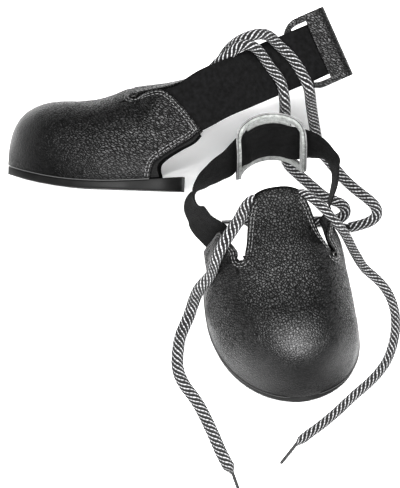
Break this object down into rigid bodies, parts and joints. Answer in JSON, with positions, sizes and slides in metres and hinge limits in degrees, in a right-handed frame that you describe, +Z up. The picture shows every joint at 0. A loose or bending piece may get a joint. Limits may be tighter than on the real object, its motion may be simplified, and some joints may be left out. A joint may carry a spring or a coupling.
{
  "type": "safety shoe covers",
  "caption": "Pair of black leather toe-cap overshoes on half soles, each with an elastic heel strap, a slotted heel piece and a lace through the tongue.",
  "frame": {"origin": "middle of the pair's outline on the floor, without the laces", "axes": "+Z up from the floor, +X to the right and +Y to the back as the picture shows the pair; the right cover's toe points along -Y"},
  "size_m": [0.2878, 0.3674, 0.1207],
  "materials": {
    "leather": "black full-grain leather with a fine pebbled grain and a low sheen",
    "rubber": "dull black moulded rubber",
    "steel": "pressed steel, hidden inside the toe",
    "lining": "thin dark woven lining",
    "elastic": "wide black ribbed elastic",
    "felt": "soft grey felt with a fuzzy surface",
    "lace": "flat tubular braid, black with pale slanting stripes",
    "aglet": "thin dark plastic tip"
  },
  "bodies": {
    "root": {"right_sole": "rubber", "right_vamp": "leather", "right_toe_cap": "steel", "right_outer_lining": "lining", "right_inner_lining": "lining", "right_heel_leather": "leather", "right_heel_felt": "felt", "right_strap": "elastic", "left_sole": "rubber", "left_vamp": "leather", "left_toe_cap": "steel", "left_outer_lining": "lining", "left_inner_lining": "lining", "left_heel_leather": "leather", "left_heel_felt": "felt", "left_strap": "elastic", "right_lace_outer": "lace", "right_lace_outer_aglet": "aglet", "right_lace_inner": "lace", "right_lace_inner_aglet": "aglet", "left_lace_outer": "lace", "left_lace_outer_aglet": "aglet", "left_lace_inner": "lace"}
  },
  "joints": []
}
